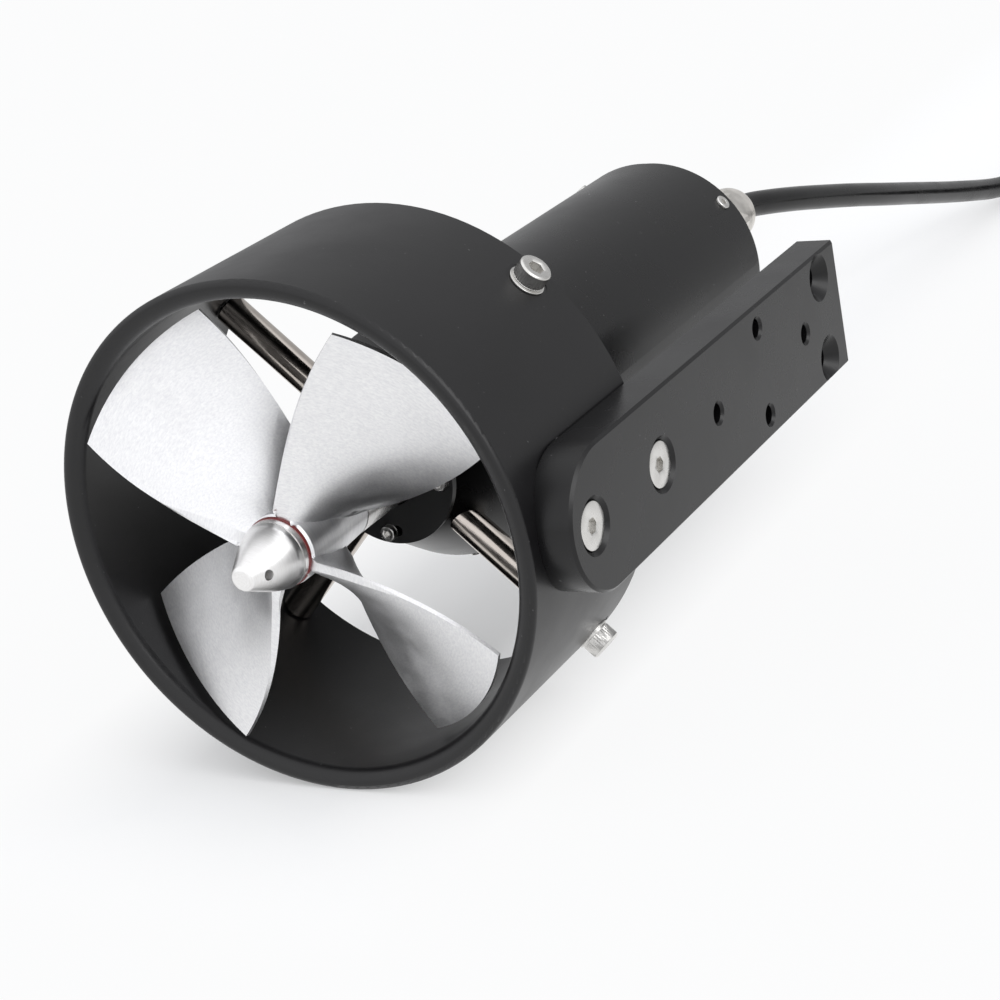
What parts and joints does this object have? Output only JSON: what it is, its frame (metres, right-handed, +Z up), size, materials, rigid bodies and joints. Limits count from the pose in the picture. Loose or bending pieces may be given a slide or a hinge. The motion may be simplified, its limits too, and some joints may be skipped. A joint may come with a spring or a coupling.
{
  "type": "underwater thruster",
  "caption": "Ducted underwater thruster: black anodised duct, twisted metal propeller, sealed motor tube and a flat side mounting arm",
  "frame": {"origin": "bottom centre of the thruster without its cable, on the surface it stands on", "axes": "+Y runs along the shaft from the propeller to the motor, +X points to the mounting arm, +Z is up"},
  "size_m": [0.1728, 0.5005, 0.1121],
  "materials": {
    "black_anodised": "satin bead-blasted black anodise",
    "arm_anodised": "satin dark grey anodise with a fine grain",
    "cap_aluminium": "fine turned aluminium",
    "propeller_aluminium": "satin machined aluminium with fine brush marks",
    "polished_steel": "polished stainless steel",
    "turned_steel": "turned stainless steel",
    "screw_steel": "bright stainless steel",
    "bearing_steel": "ground bearing steel",
    "gland_metal": "satin nickel plate",
    "lamination_steel": "dark electrical steel",
    "magnet_nickel": "nickel-plated magnet",
    "copper_winding": "enamelled copper wire",
    "pin_brass": "polished brass",
    "black_rubber": "matt black rubber",
    "cable_rubber": "semi-gloss black cable jacket",
    "plug_rubber": "moulded black rubber",
    "black_plastic": "matt black plastic",
    "wire_plastic": "gloss wire insulation",
    "red_ring": "satin red anodise"
  },
  "bodies": {
    "housing": {"duct": "black_anodised", "strut_upper_right": "polished_steel", "strut_upper_left": "polished_steel", "strut_lower_left": "polished_steel", "strut_lower_right": "polished_steel", "strut_screws": "screw_steel", "strut_washers": "screw_steel", "mounting_arm": "arm_anodised", "mounting_arm_screws": "screw_steel", "nose_cap": "cap_aluminium", "nose_cap_oring": "black_rubber", "nose_cap_screws": "screw_steel", "seal_plate": "black_plastic", "seal_plate_screws": "screw_steel", "shaft_seal": "black_rubber", "front_bearing_outer_ring": "bearing_steel", "front_bearing_balls": "bearing_steel", "motor_housing": "black_anodised", "stator_core": "lamination_steel", "stator_windings": "copper_winding", "rear_bearing_plate": "cap_aluminium", "rear_bearing_outer_ring": "bearing_steel", "rear_bearing_balls": "bearing_steel", "lead_wires": "wire_plastic", "rear_cap": "black_anodised", "rear_cap_oring": "black_rubber", "rear_cap_screws": "screw_steel", "gland_body": "gland_metal", "gland_grommet": "black_rubber", "gland_nut": "gland_metal", "cable": "cable_rubber", "cable_coil": "cable_rubber", "cable_tail": "cable_rubber", "plug_body": "plug_rubber", "plug_ring": "black_plastic", "plug_pins": "pin_brass"},
    "rotor": {"motor_shaft": "polished_steel", "drive_pin": "screw_steel", "propeller": "propeller_aluminium", "hub_ring": "red_ring", "spinner_nut": "turned_steel", "front_bearing_inner_ring": "bearing_steel", "rear_bearing_inner_ring": "bearing_steel", "rotor_core": "lamination_steel", "rotor_magnets": "magnet_nickel"}
  },
  "joints": [
    {"name": "propeller_spin", "type": "hinge", "parent": "housing", "child": "rotor", "pos_m": [-0.00375, -0.1105, 0.055], "axis": [0, 1, 0], "continuous": true}
  ]
}
